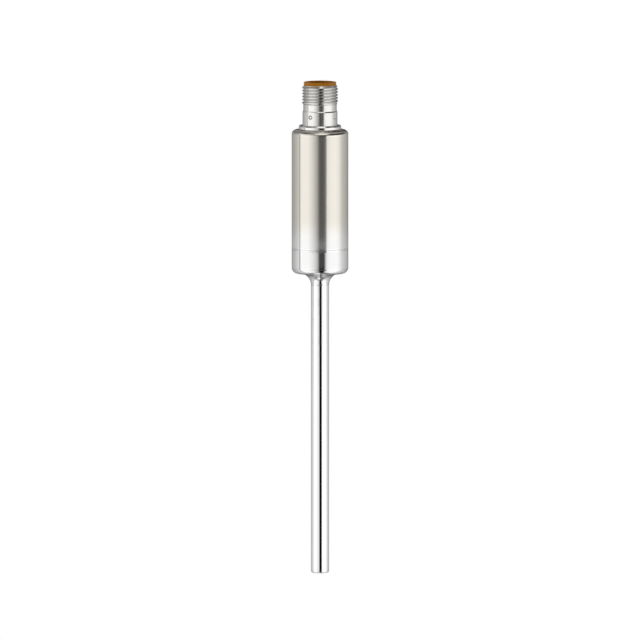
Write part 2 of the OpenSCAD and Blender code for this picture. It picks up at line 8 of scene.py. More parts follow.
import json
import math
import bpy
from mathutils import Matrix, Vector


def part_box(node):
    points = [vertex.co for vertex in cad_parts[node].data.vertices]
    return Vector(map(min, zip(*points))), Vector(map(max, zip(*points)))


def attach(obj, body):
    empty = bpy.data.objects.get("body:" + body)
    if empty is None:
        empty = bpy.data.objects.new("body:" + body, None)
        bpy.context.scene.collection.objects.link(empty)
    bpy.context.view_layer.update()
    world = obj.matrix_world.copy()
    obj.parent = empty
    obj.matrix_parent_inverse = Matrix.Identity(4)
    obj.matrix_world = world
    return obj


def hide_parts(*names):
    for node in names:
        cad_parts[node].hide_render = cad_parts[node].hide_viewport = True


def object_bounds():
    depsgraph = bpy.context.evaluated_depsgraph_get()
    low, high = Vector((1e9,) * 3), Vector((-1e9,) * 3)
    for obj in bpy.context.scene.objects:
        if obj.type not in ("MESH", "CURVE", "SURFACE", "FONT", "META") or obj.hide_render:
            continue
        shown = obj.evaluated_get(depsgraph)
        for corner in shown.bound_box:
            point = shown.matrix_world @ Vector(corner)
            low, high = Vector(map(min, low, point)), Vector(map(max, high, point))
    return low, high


bl_info = {
    "name": "Temperature Transmitter",
    "version": (1, 0, 0),
    "blender": (4, 5, 0),
    "location": "View3D > Sidebar > Transmitter",
    "description": "Builds the finished surfaces of a compact temperature transmitter",
    "category": "Object",
}

import bmesh
import bpy
import numpy as np
from bpy.props import FloatProperty, FloatVectorProperty, IntProperty, PointerProperty
from bpy.types import Operator, Panel, PropertyGroup
from mathutils import Vector

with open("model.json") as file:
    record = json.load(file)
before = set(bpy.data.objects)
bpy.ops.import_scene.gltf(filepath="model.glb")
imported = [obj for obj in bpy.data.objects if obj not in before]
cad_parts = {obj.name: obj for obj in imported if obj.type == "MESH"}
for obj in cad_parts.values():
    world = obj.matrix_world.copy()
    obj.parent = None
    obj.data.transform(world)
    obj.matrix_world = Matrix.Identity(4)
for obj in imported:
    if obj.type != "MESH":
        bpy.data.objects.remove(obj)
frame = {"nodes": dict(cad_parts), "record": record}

MM = 0.001
# Points closer together than this are one, and edges that bend by more than this stay sharp
SAME_POINT = 2e-8
SHARP_EDGE = math.radians(38)
CAD_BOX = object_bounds()
SLOT_COLOUR = {m["slot"]: m["base_color"][:3] for m in frame["record"]["materials"]}
MOUNT = {m["name"]: m["dims"] for m in frame["record"]["mounts"]}
SHELL_LOW, SHELL_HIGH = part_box("connector_shell")
SLEEVE_LOW, SLEEVE_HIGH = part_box("housing_sleeve")
BASE_LOW, BASE_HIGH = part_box("housing_base")
TUBE_LOW, TUBE_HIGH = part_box("probe_tube")
TIP_LOW, TIP_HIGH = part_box("tip_cap")
WINDOW_LOW, WINDOW_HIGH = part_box("led_window_1")
WINDOW_MIDDLE = (WINDOW_LOW + WINDOW_HIGH) / 2
FIRST_WINDOW = math.atan2(WINDOW_MIDDLE.y, WINDOW_MIDDLE.x)
WINDOW_ANGLES = [FIRST_WINDOW + math.pi / 2 * i for i in range(4)]


def length(name, description, mm):
    """A length property, whose default is given in millimetres."""
    return FloatProperty(
        name=name, description=description, default=mm * MM, unit="LENGTH", precision=6)


def degrees(name, description, value):
    """An angle property, whose default is given in degrees."""
    return FloatProperty(
        name=name, description=description, default=math.radians(value), subtype="ANGLE")


def tint(name, description, *colour):
    """A colour property."""
    return FloatVectorProperty(name=name, description=description, default=colour, subtype="COLOR")


class ShellSettings(PropertyGroup):
    """Sizes of the turned connector shell."""

    thread_d: length("Thread diameter", "Across the thread's crests", 2 * MOUNT["connector_thread"]["r_mm"])
    thread_pitch: length("Thread pitch", "Distance from one crest to the next", 1.0)
    thread_len: length("Thread length", "From the smooth neck to the shell's end", 6.4)
    thread_depth: length("Thread depth", "From crest to root", 0.5)
    crest_width: length("Crest width", "Between a crest's flanks, before it is rounded", 0.14)
    crest_round: length("Crest rounding", "Radius on both edges of a crest", 0.12)
    root_round: length("Root rounding", "Radius on both edges of a root", 0.04)
    lead_in: length("Lead-in", "Height and depth of the cone at the thread's start", 0.6134)
    thread_turn: degrees("Thread turn", "From the first window to the lowest groove's start", -90)
    neck_d: length("Neck diameter", "Smooth neck under the thread", 11.14)
    neck_len: length("Neck length", "Smooth neck under the thread", 2.1)
    band_d: length("Window band diameter", "Band that the windows sit in, and the shank", 11.6)
    band_len: length("Window band length", "From the collar to the neck", 4.85)
    band_chamfer: length("Band chamfer", "Depth of the window band's upper chamfer", 0.18)
    foot_round: length("Foot rounding", "Concave radius between band and collar", 0.12)
    collar_h: length("Collar height", "Collar on top of the sleeve", 1.45)
    collar_bevel: length("Collar bevel", "Depth of the collar's softened upper edge", 0.22)
    bevel_slope: FloatProperty(
        name="Bevel slope", description="Height of both softened edges over their depth", default=1.8)
    collar_foot_round: length("Collar foot rounding", "Radius on the collar's lower edge", 0.3)
    bore_d: length("Socket bore", "Bore round the contact carrier", 9.7732)
    light_bore_d: length("Light bore", "Bore below the carrier's ledge", 9.0732)
    ledge_drop: length("Ledge drop", "From the window band's upper edge down to the ledge", 0.4)
    groove_w: length("Ring groove width", "Groove of the ring on the shank", 1.2)
    groove_depth: length("Ring groove depth", "Groove of the ring on the shank", 0.8)
    edge_break: length("Edge break", "Small rounding on turned edges", 0.05)
    columns: IntProperty(
        name="Columns", description="Facets round the shell, in steps of 72", default=216, min=72, step=72)


class WindowSettings(PropertyGroup):
    """Sizes of the four signal windows."""

    diameter: length("Diameter", "Bore of a window", 1.45)
    drop: length("Drop", "From the window band's upper edge to a window's middle", 1.95)
    chamfer: length("Chamfer", "On the outer edge of a window's bore", 0.06)
    recess: length("Recess", "How far a plug's face lies inside the window band", 0.22)
    gap: length("Gap", "Clearance round a plug", 0.01)
    lens_d: length("Lens diameter", "Crowned lens in the middle of a plug", 0.8)
    # The ring groove's dark finish is painted shade, standing in for the shadow in it
    ring_w: length("Ring width", "Dark ring groove round the lens", 0.22)
    ring_depth: length("Ring depth", "Dark ring groove round the lens", 0.08)
    crown: length("Crown", "How far a lens bulges", 0.05)
    columns: IntProperty(name="Columns", description="Facets round a plug", default=48, min=12)


class HousingSettings(PropertyGroup):
    """Sizes of the satin sleeve and the polished base."""

    wall: length("Wall", "Wall of the sleeve", 1.0)
    slip: length("Slip", "Clearance between pieces that slide together", 0.03)
    top_t: length("Top thickness", "Thickness of the sleeve's top", 3.0)
    shoulder_round: length("Shoulder rounding", "Radius of the sleeve's shoulder", 1.5)
    base_round: length("Base rounding", "Radius of the base's lower edge", 1.9)
    floor_t: length("Floor thickness", "Thickness of the base's floor", 2.5)
    neck_round: length("Neck curve", "Concave radius between underside and stem", 4.0)
    spigot_wall: length("Spigot wall", "Wall of the neck's spigot inside the stem", 0.5)
    seam_v: length("Seam groove", "Depth and half width of the groove along the weld", 0.07)
    seam_sink: length("Seam sink", "How far the wall draws in beside the weld", 0.012)
    seam_reach: length("Seam reach", "How far from the weld the wall is drawn in", 0.45)
    overlap_angle: degrees("Weld overlap", "Where the weld's end runs over its start", -33)
    columns: IntProperty(name="Columns", description="Facets round the housing", default=256, min=48)


class StemSettings(PropertyGroup):
    """Sizes of the probe stem."""

    wall: length("Wall", "Wall of the stem's tube", 0.5)
    tip_round: length("Tip rounding", "Radius of the tip's edge", 0.6)
    weld_v: length("Weld groove", "Depth and half width of the groove along a weld", 0.02)
    rings: IntProperty(name="Rings", description="Rows of facets along the tube", default=48, min=8)
    columns: IntProperty(name="Columns", description="Facets round the stem", default=160, min=32)


class FinishSettings(PropertyGroup):
    """Colours of the finishes that show from outside."""

    turned: tint("Turned steel", "Colour of the connector shell", 0.80, 0.785, 0.76)
    satin: tint("Satin steel", "Colour of the sleeve", 0.745, 0.715, 0.65)
    polished: tint("Polished steel", "Colour of the base and the stem", 0.80, 0.80, 0.795)
    amber: tint("Amber plastic", "Colour of the contact carrier", 0.46, 0.19, 0.01)


class StudioSettings(PropertyGroup):
    """Sizes of the camera and the floor."""

    aim_z: length("Aim height", "Height on the axis that the camera looks at", -11.64)
    frame_width: length("Picture width", "Width of the picture at the object", 212.6)
    elevation: degrees("Elevation", "How far the camera looks down", 5.6)
    lens: FloatProperty(name="Lens", description="Focal length in mm", default=1200, min=20)
    sensor: FloatProperty(name="Sensor", description="Sensor's width in mm", default=36, min=8)
    floor_gap: length("Floor gap", "From the tip down to the floor", 30)
    floor_size: length("Floor size", "Side of the square floor", 40000)


def settings(name):
    """The scene's values of one property group."""
    return getattr(bpy.context.scene, "transmitter_" + name)


def rounded(corners, steps=8, grip=0.04 * MM):
    """Outline through corners given as (radius, height, rounding).

    A rounding is the arc that touches both straight lines at its corner. Its centre lies on the
    bisector, and its points are the centre plus the spherical blend of the arc's first and last
    spoke. One more point on each straight line keeps the shading of the flat. It lies a grip away,
    or a quarter of the line if that is less.
    """
    corners = np.array(corners, float)
    place, radius = corners[:, :2], corners[:, 2]
    edge = np.roll(place, -1, axis=0) - place
    edge_len = np.linalg.norm(edge, axis=1)
    ahead = edge / edge_len[:, None]
    behind = -np.roll(ahead, 1, axis=0)
    half = np.arccos(np.clip((ahead * behind).sum(axis=1), -1, 1)) / 2
    cut = np.where(radius > 0, radius / np.tan(half), 0)
    free = edge_len - cut - np.roll(cut, -1)
    share = np.linspace(0, 1, steps + 1)[:, None]
    points = []
    for i, r in enumerate(radius):
        if r == 0:
            points.append(place[i:i + 1])
            continue
        bisector = ahead[i] + behind[i]
        centre = place[i] + bisector / np.linalg.norm(bisector) * r / math.sin(half[i])
        first = place[i] + behind[i] * cut[i]
        last = place[i] + ahead[i] * cut[i]
        turn = math.pi - 2 * half[i]
        blend = np.sin((1 - share) * turn) * (first - centre) + np.sin(share * turn) * (last - centre)
        points += [
            (first + behind[i] * min(grip, free[i - 1] / 4))[None],
            centre + blend / math.sin(turn),
            (last + ahead[i] * min(grip, free[i] / 4))[None],
        ]
    return np.concatenate(points)


def closed(outline):
    """The outline with its first point again at its end."""
    return np.concatenate([outline, outline[:1]])


def polar(r, angle, z):
    """Points (r cos a, r sin a, z) at an angle a round the axis."""
    return np.stack(np.broadcast_arrays(r * np.cos(angle), r * np.sin(angle), z), axis=-1)


def outward(out, side, up, angle):
    """Points that lie out along the angle, sideways of it and up."""
    x = out * math.cos(angle) - side * math.sin(angle)
    y = out * math.sin(angle) + side * math.cos(angle)
    return np.stack([x, y, up], axis=-1)


def turned(outline, columns, start=0.0, relief=None):
    """Surface of revolution of an (r, z) outline.

    The angle runs evenly once round the axis from the start. A relief takes radius, angle and
    height, and says how far the surface lies inside the outline there.
    """
    angle = start + np.linspace(0, 2 * math.pi, columns + 1)[None, :]
    r, z = outline[:, :1], outline[:, 1:]
    if relief is not None:
        r = r - relief(r, angle, z)
    return polar(r, angle, z)


def skin(name, grids, painted_shade=()):
    """One closed mesh object from grids of points, whose borders meet point on point.

    Each grid is an array of rows, columns and xyz, and neighbours in it make a quad. Points that
    coincide are welded, so that quads which end in a point become triangles. The grids in the
    second list wear the piece's second finish, a dark colour painted as shade.
    """
    verts, faces, finishes, used = [], [], [], 0
    for finish, group in enumerate((grids, painted_shade)):
        for grid in group:
            rows, columns = grid.shape[:2]
            index = used + np.arange(rows * columns).reshape(rows, columns)
            quads = np.stack([index[:-1, :-1], index[:-1, 1:], index[1:, 1:], index[1:, :-1]], axis=-1)
            verts.append(grid.reshape(-1, 3))
            faces.append(quads.reshape(-1, 4))
            finishes.append(np.full(len(faces[-1]), finish))
            used += rows * columns
    mesh = bpy.data.meshes.new(name)
    mesh.from_pydata(np.concatenate(verts).tolist(), [], np.concatenate(faces).tolist())
    mesh.polygons.foreach_set("material_index", np.concatenate(finishes))
    soup = bmesh.new()
    soup.from_mesh(mesh)
    bmesh.ops.remove_doubles(soup, verts=soup.verts, dist=SAME_POINT)
    bmesh.ops.recalc_face_normals(soup, faces=soup.faces)
    soup.to_mesh(mesh)
    soup.free()
    mesh.shade_smooth()
    mesh.set_sharp_from_angle(angle=SHARP_EDGE)
    piece = bpy.data.objects.new(name, mesh)
    bpy.context.scene.collection.objects.link(piece)
    return piece


def fit(piece, slot, node, *finishes):
    """The piece rides on the body, stands for the node and wears the finishes."""
    for finish in finishes:
        piece.data.materials.append(finish)
    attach(piece, "root")
    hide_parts(node)


def dress(finishes):
    """Each node that keeps its solid, and has one of these slots, gets the slot's finish."""
    for part in frame["record"]["subparts"]:
        if part["material_slot"] in finishes:
            mesh = frame["nodes"][part["node"]].data
            mesh.materials.clear()
            mesh.materials.append(finishes[part["material_slot"]])


def fill(tree, made, *inputs, **values):
    """Sets a node's settings and inputs by name, and its first inputs in their order.

    A socket that is given is linked to the input, and anything else becomes its default.
    """
    placed = list(zip(made.inputs, inputs))
    for key, value in values.items():
        if hasattr(made, key):
            setattr(made, key, value)
        else:
            placed.append((made.inputs[key.replace("_", " ")], value))
    for socket, value in placed:
        if isinstance(value, bpy.types.NodeSocket):
            tree.links.new(value, socket)
        else:
            socket.default_value = value
    return made


def add_node(tree, kind, *inputs, **values):
    """A new shader node with its settings and inputs."""
    return fill(tree, tree.nodes.new("ShaderNode" + kind), *inputs, **values)


def maths(tree, operation, *values, kind="Math"):
    """A sum, product or other operation on numbers, vectors or sockets."""
    return add_node(tree, kind, *values, operation=operation).outputs[0]


def noise(tree, place, scale, detail):
    """Noise between 0 and 1."""
    return add_node(tree, "TexNoise", Vector=place, Scale=scale, Detail=detail).outputs["Fac"]


def soft_step(tree, value, low, high):
    """Mask that rises from 0 to 1 between two values."""
    return add_node(
        tree, "MapRange", interpolation_type="SMOOTHSTEP",
        Value=value, From_Min=low, From_Max=high).outputs["Result"]


def blend_value(tree, mask, low, high):
    """A value that runs from low to high with a mask."""
    return add_node(tree, "MapRange", Value=mask, To_Min=low, To_Max=high).outputs["Result"]


def blend_colour(tree, mask, low, high):
    """A colour that runs from low to high with a mask."""
    mix = add_node(tree, "Mix", data_type="RGBA", Factor=mask, A=low, B=high)
    return mix.outputs["Result"]


def bump(tree, height, depth_mm, strength):
    """Normals of a height between 0 and 1, over a real depth."""
    return add_node(
        tree, "Bump", Height=height, Distance=depth_mm * MM, Strength=strength).outputs["Normal"]


def ring_tangent(tree):
    """Tangent round Z, so that highlights stretch along the axis."""
    return add_node(tree, "Tangent", direction_type="RADIAL", axis="Z").outputs["Tangent"]


def shade(colour, factor):
    """A colour times a factor, as a shader takes it."""
    return (*(min(1.0, channel * factor) for channel in colour), 1)


def new_group(name, inputs, outputs):
    """An empty shader group with float sockets, and its two end nodes."""
    group = bpy.data.node_groups.new(name, "ShaderNodeTree")
    for label, default in inputs.items():
        socket = group.interface.new_socket(label, in_out="INPUT", socket_type="NodeSocketFloat")
        socket.default_value = default
    for label in outputs:
        group.interface.new_socket(label, in_out="OUTPUT", socket_type="NodeSocketFloat")
    return group, group.nodes.new("NodeGroupInput").outputs, group.nodes.new("NodeGroupOutput")


def turned_lines_group():
    """Fine lines round Z: noise on Object coordinates that are squeezed across the axis.

    Lines per metre scales Z, and Drift scales X and Y, so a line changes only slowly as it runs
    round. Height is the line pattern, and Tone a slower mix of lines and clouds.
    """
    group, start, end = new_group("turned_lines", {"Lines": 9000.0, "Drift": 60.0}, ["Height", "Tone"])
    place = add_node(group, "TexCoord").outputs["Object"]
    stretch = add_node(group, "CombineXYZ", start["Drift"], start["Drift"], start["Lines"])
    squeezed = maths(group, "MULTIPLY", place, stretch.outputs[0], kind="VectorMath")
    slower = maths(group, "MULTIPLY", squeezed, (0.5, 0.5, 0.06), kind="VectorMath")
    fine, slow = noise(group, squeezed, 1.0, 3.0), noise(group, slower, 1.0, 2.0)
    tone = maths(group, "MULTIPLY_ADD", fine, 0.35, maths(group, "MULTIPLY", slow, 0.65))
    fill(group, end, Height=fine, Tone=tone)
    return group


def clouds_group():
    """Even clouds: noise on Object coordinates. Scale is clouds per metre, and Tone is from 0 to 1."""
    group, start, end = new_group("clouds", {"Scale": 150.0, "Detail": 2.0}, ["Tone"])
    place = add_node(group, "TexCoord").outputs["Object"]
    fill(group, end, Tone=noise(group, place, start["Scale"], start["Detail"]))
    return group


def height_mask_group():
    """Mask that goes from 0 to 1 between two heights in Object coordinates."""
    group, start, end = new_group("height_mask", {"From": 0.0, "To": 0.001}, ["Mask"])
    place = add_node(group, "TexCoord").outputs["Object"]
    height = add_node(group, "SeparateXYZ", place).outputs["Z"]
    fill(group, end, Mask=soft_step(group, height, start["From"], start["To"]))
    return group


GROUP_BUILDERS = {
    "turned_lines": turned_lines_group,
    "clouds": clouds_group,
    "height_mask": height_mask_group,
}


def place_group(tree, name, **values):
    """Outputs of a shared group, placed in a material with its own values."""
    group = bpy.data.node_groups.get(name) or GROUP_BUILDERS[name]()
    return add_node(tree, "Group", node_tree=group, **values).outputs


def clouds(tree, scale, detail):
    """Tone of the clouds group."""
    return place_group(tree, "clouds", Scale=scale, Detail=detail)["Tone"]


def above(tree, level, start, end):
    """Mask of the height group, from 0 at the start to 1 at the end, both in mm above a level."""
    return place_group(tree, "height_mask", From=level + start * MM, To=level + end * MM)["Mask"]


def new_finish(name):
    """A material with one Principled shader, and its node tree."""
    finish = bpy.data.materials.new(name)
    finish.use_nodes = True
    return finish, finish.node_tree


def finished(finish, **inputs):
    """The finish, once its Principled shader has these inputs."""
    fill(finish.node_tree, finish.node_tree.nodes["Principled BSDF"], **inputs)
    return finish


def turned_steel():
    """Bright turned steel of the shell: fine feed lines, coarser on neck and window band."""
    colour = settings("finish").turned
    finish, tree = new_finish("turned_steel")
    lines = place_group(tree, "turned_lines", Lines=9000.0, Drift=80.0)
    s = settings("shell")
    thread_z = SHELL_HIGH.z - s.thread_len
    edge_z = thread_z - s.neck_len
    band_z = edge_z - s.band_len
    thread = above(tree, thread_z, -0.05, 0.05)
    band = maths(tree, "SUBTRACT", above(tree, band_z, 0, 0.5), above(tree, edge_z, -0.5, -0.3))
    neck = maths(tree, "SUBTRACT", above(tree, edge_z, 0.1, 0.3), thread)
    coarse = maths(tree, "ADD", band, neck)
    fine = blend_value(tree, lines["Tone"], 0.05, 0.08)
    return finished(
        finish, Metallic=0.98, Anisotropic=1.0, Anisotropic_Rotation=0.25,
        Roughness=maths(tree, "MULTIPLY_ADD", coarse, 0.12, fine),
        # Painted shade: the thread's colour is darker to stand in for the shade in its grooves
        Base_Color=blend_colour(tree, thread, shade(colour, 1), shade(colour, 0.82)),
        Normal=bump(tree, lines["Height"], 0.0006, 0.6), Tangent=ring_tangent(tree))


def satin_steel():
    """Satin steel of the sleeve: brushed round the axis, smoother on its shoulder.

    Towards the weld the steel is whiter and has a faint haze, which ends right beside the weld.
    """
    colour = settings("finish")
    finish, tree = new_finish("satin_steel")
    low = SLEEVE_LOW.z
    lines = place_group(tree, "turned_lines", Lines=20000.0, Drift=150.0)
    shoulder = above(tree, SLEEVE_HIGH.z, -2, -1.2)
    clean, welded, upper = above(tree, low, 2, 5), above(tree, low, 0.5, 0.4), above(tree, low, 1, 11)
    brushed = blend_value(tree, lines["Tone"], 0.15, 0.19)
    patchy = maths(tree, "MULTIPLY_ADD", clouds(tree, 140.0, 3.0), 0.03, brushed)
    clear = maths(tree, "MULTIPLY_ADD", shoulder, 0.08, blend_value(tree, clean, 0.8, 0.92))
    return finished(
        finish, Anisotropic=0.95, Anisotropic_Rotation=0.25,
        Roughness=maths(tree, "MULTIPLY", patchy, blend_value(tree, shoulder, 1.0, 0.2)),
        Metallic=maths(tree, "MULTIPLY_ADD", welded, 0.18, clear),
        Base_Color=blend_colour(tree, upper, shade(colour.polished, 1.08), shade(colour.satin, 1)),
        Normal=bump(tree, lines["Height"], 0.0005, 0.6), Tangent=ring_tangent(tree))


def polished_steel():
    """Polished steel of the base: clear reflections over faint turning lines.

    A slight haze lies on the wall, but not beside the weld nor on the neck.
    """
    colour = settings("finish").polished
    finish, tree = new_finish("polished_steel")
    neck_z, weld_z = settings("housing").neck_round, SLEEVE_LOW.z
    lines = place_group(tree, "turned_lines", Lines=6000.0, Drift=60.0)
    wall = above(tree, neck_z, 1, 3.5)
    hazy = maths(tree, "SUBTRACT", wall, above(tree, weld_z, -0.6, -0.45))
    fine = blend_value(tree, lines["Tone"], 0.04, 0.07)
    return finished(
        finish,
        Roughness=maths(tree, "MULTIPLY", fine, blend_value(tree, wall, 0.5, 1.0)),
        Metallic=maths(tree, "MULTIPLY_ADD", hazy, -0.1, 1.0),
        Base_Color=blend_colour(tree, lines["Tone"], shade(colour, 0.98), shade(colour, 1.02)),
        Normal=bump(tree, lines["Height"], 0.0003, 0.5))


def drawn_tube_steel():
    """Mirror finish of the drawn stem, whose surface wavers very slightly along its length."""
    colour = shade(settings("finish").polished, 1.04)[:3]
    finish, tree = new_finish("drawn_tube_steel")
    waver = clouds(tree, 220.0, 1.0)
    return finished(
        finish, Metallic=1.0,
        Roughness=blend_value(tree, waver, 0.02, 0.04),
        Base_Color=blend_colour(tree, waver, shade(colour, 0.98), shade(colour, 1.02)),
        Normal=bump(tree, waver, 0.012, 0.6))


def amber_plastic():
    """Amber moulded plastic: slightly cloudy, with light that sinks in."""
    colour = settings("finish").amber
    finish, tree = new_finish("amber_plastic")
    tone, grain = clouds(tree, 500.0, 3.0), clouds(tree, 9000.0, 2.0)
    return finished(
        finish, Roughness=0.42, Specular_IOR_Level=0.12, Subsurface_Weight=0.6,
        Subsurface_Radius=(1.2 * MM, 0.7 * MM, 0.15 * MM), Subsurface_Scale=1.0,
        Base_Color=blend_colour(tree, tone, shade(colour, 0.85), shade(colour, 1.15)),
        Normal=bump(tree, grain, 0.004, 0.5))


def gilded_contact():
    """Gilded brass pins with faint turning lines."""
    colour = SLOT_COLOUR["gilded_contact"]
    finish, tree = new_finish("gilded_contact")
    tone = place_group(tree, "turned_lines", Lines=8000.0, Drift=300.0)["Tone"]
    return finished(
        finish, Metallic=1.0,
        Roughness=blend_value(tree, tone, 0.15, 0.28),
        Base_Color=blend_colour(tree, tone, shade(colour, 0.95), shade(colour, 1.1)))


def moulded(slot, roughness, grain_per_m, depth_mm):
    """A moulded or cast finish in the slot's colour, with clouds of tone and a fine grain."""
    colour = SLOT_COLOUR[slot]
    finish, tree = new_finish(slot)
    tone, grain = clouds(tree, 400.0, 2.0), clouds(tree, grain_per_m, 3.0)
    return finished(
        finish, Roughness=roughness,
        Base_Color=blend_colour(tree, tone, shade(colour, 0.88), shade(colour, 1.1)),
        Normal=bump(tree, grain, depth_mm, 0.6))


def clear_plastic():
    """Clear plastic of the windows, with a faint painted glow for the light it gathers all round."""
    finish, tree = new_finish("clear_plastic")
    tone = clouds(tree, 3000.0, 1.0)
    return finished(
        finish, Transmission_Weight=0.1, IOR=1.49, Specular_IOR_Level=1.0,
        # Painted glow: a faint emission, though the plastic is no lamp
        Emission_Color=(1, 1, 1, 1), Emission_Strength=0.16,
        Roughness=blend_value(tree, tone, 0.04, 0.14),
        Base_Color=blend_colour(tree, tone, (0.96, 0.96, 0.96, 1), (0.99, 0.99, 0.99, 1)))


def painted_shade_groove():
    """Painted shade: the groove round a window's lens is coloured dark for the shadow it lies in."""
    finish, tree = new_finish("painted_shade_groove")
    return finished(finish, Roughness=0.5, Base_Color=blend_colour(
        tree, clouds(tree, 3000.0, 2.0), (0.03, 0.03, 0.03, 1), (0.06, 0.06, 0.057, 1)))


class TRANSMITTER_OT_connector_shell(Operator):
    """Turned shell with a helical thread and four window bores"""

    bl_idname = "transmitter.connector_shell"
    bl_label = "Connector Shell"

    def execute(self, context):
        body = skin("shell_body", shell_grids(settings("shell"), settings("window")))
        fit(body, "polished_steel", "connector_shell", turned_steel())
        return {"FINISHED"}


def thread_profile(s):
    """Half of one thread, as distance from the crest's middle and depth below the crest.

    The flanks stand at 30 degrees to the radial plane, the crest is round and the root flat.
    """
    crest_half = s.crest_width / 2
    flank = s.thread_depth * math.tan(math.radians(30))
    middle = s.thread_pitch / 2
    outline = rounded([
        (-crest_half, 0, 0),
        (crest_half, 0, s.crest_round),
        (crest_half + flank, s.thread_depth, s.root_round),
        (middle + crest_half, s.thread_depth, 0),
        (middle, 2 * s.thread_depth, 0),
    ], steps=5, grip=0.01 * MM)[1:-2]
    inside = outline[(outline[:, 0] > 0) & (outline[:, 0] < middle)]
    return np.concatenate([[[0, 0]], inside, [[middle, s.thread_depth]]])


def thread_grids(s, first_column):
    """Helical thread between two flat rings.

    At angle a, the crest's height is the lower ring plus one pitch for each turn since the
    thread's start. A strip one pitch wide, from crest to crest, follows that helix, and a wedge
    below and one above fill up to the flat rings. The radius is the smaller of the outline with
    its two cones and the crest's radius less the profile's depth. The lowest groove runs out by a
    smooth step.
    """
    crest_r, neck_r, pitch = s.thread_d / 2, s.neck_d / 2, s.thread_pitch
    top_z = SHELL_HIGH.z
    bottom_z = top_z - s.thread_len
    turns = int(s.thread_len / pitch)
    helix_top_z = bottom_z + turns * pitch
    profile = thread_profile(s)
    share = np.concatenate([profile[:, 0], pitch - profile[-2::-1, 0]])[:, None] / pitch
    step = 2 * math.pi / s.columns
    start = first_column + round(s.thread_turn / step) * step
    # The lowest groove deepens in this part of a turn, and begins this long before the start. A
    # hair of a turn keeps a point on a crest in the turn above it
    run_out_turns, run_out_lead, hair = 0.6, 0.35, 1e-9
    end_rows = 9

    def surface(turn, z):
        rise = (z - bottom_z) / pitch - turn
        groove = np.floor(rise + hair)
        within = rise - groove
        depth = np.interp(np.minimum(within, 1 - within) * pitch, profile[:, 0], profile[:, 1])
        run_out = np.clip((turn + groove + run_out_lead) / run_out_turns, 0, 1)
        outline = np.interp(
            z, [bottom_z, bottom_z + (crest_r - neck_r), top_z - s.lead_in, top_z],
            [neck_r, crest_r, crest_r, crest_r - s.lead_in])
        r = np.minimum(outline, crest_r - depth * run_out * run_out * (3 - 2 * run_out))
        return polar(r, start + 2 * math.pi * turn, z)

    one = np.linspace(0, 1, s.columns + 1)[None, :]
    many = np.linspace(0, turns - 1, s.columns * (turns - 1) + 1)[None, :]
    return [
        surface(one, bottom_z + pitch * one * share),
        surface(many, bottom_z + pitch * (many + share)),
        surface(one, helix_top_z - pitch * (1 - one) * (1 - share)),
        surface(one, np.linspace(helix_top_z, top_z, end_rows)[:, None]),
    ]


def around_hole(half, low, high, hole_z, columns, rows, radius, hole):
    """Border and hole of one panel, as matching closed curves of (angle, height).

    Both run once round from the panel's lower left corner. The hole's points are a circle on the
    cylinder: the angle is the arcsine of the sideways distance over the radius.
    """
    corners = [(-half, low), (half, low), (half, high), (-half, high), (-half, low)]
    border, spin = [], []
    for side, count in enumerate((columns, rows, columns, rows)):
        border.append(np.linspace(corners[side], corners[side + 1], count + 1)[:-1])
        spin.append(np.linspace(0, 1, count + 1)[:-1] + side)
    border = np.concatenate(border + [corners[:1]])
    lower_left = math.radians(-135)
    spin = lower_left + math.pi / 2 * np.concatenate(spin + [[len(spin)]])
    circle = np.stack([np.arcsin(hole * np.cos(spin) / radius), hole_z + hole * np.sin(spin)], 1)
    return border, circle, spin


def pierced_band(radius, low, high, hole, hole_z, columns, rows, panel_columns):
    """A cylinder's band with a round hole at each window, and the angle round each hole.

    Round a hole the points run straight, in angle and height, from the hole to the panel's
    border, and lie closer together at the hole. Between the panels lies a plain grid.
    """
    step = 2 * math.pi / columns
    half = panel_columns / 2 * step
    border, circle, spin = around_hole(half, low, high, hole_z, panel_columns, rows, radius, hole)
    rings, crowding = 17, 1.4
    panel = circle + (border - circle) * (np.linspace(0, 1, rings) ** crowding)[:, None, None]
    gap_columns = columns // len(WINDOW_ANGLES) - panel_columns
    gap = half + np.linspace(0, gap_columns * step, gap_columns + 1)[None, :]
    height = np.linspace(low, high, rows + 1)[:, None]
    grids = []
    for middle in WINDOW_ANGLES:
        grids.append(polar(radius, middle + panel[..., 0], panel[..., 1]))
        grids.append(polar(radius, middle + gap, height))
    return grids, spin


def bore_walls(rings, spin, hole_z):
    """Walls of the window bores through rings of (hole radius, cylinder radius, sink).

    A ring's point lies sideways by the hole's radius times the cosine of the angle round the
    hole, up by it times the sine, and outward to the cylinder, less the sink.
    """
    hole, reach, sink = (np.array(column)[:, None] for column in zip(*rings))
    side, up = hole * np.cos(spin), hole_z + hole * np.sin(spin)
    out = np.sqrt(reach ** 2 - side ** 2) - sink
    return [outward(out, side, up, angle) for angle in WINDOW_ANGLES]


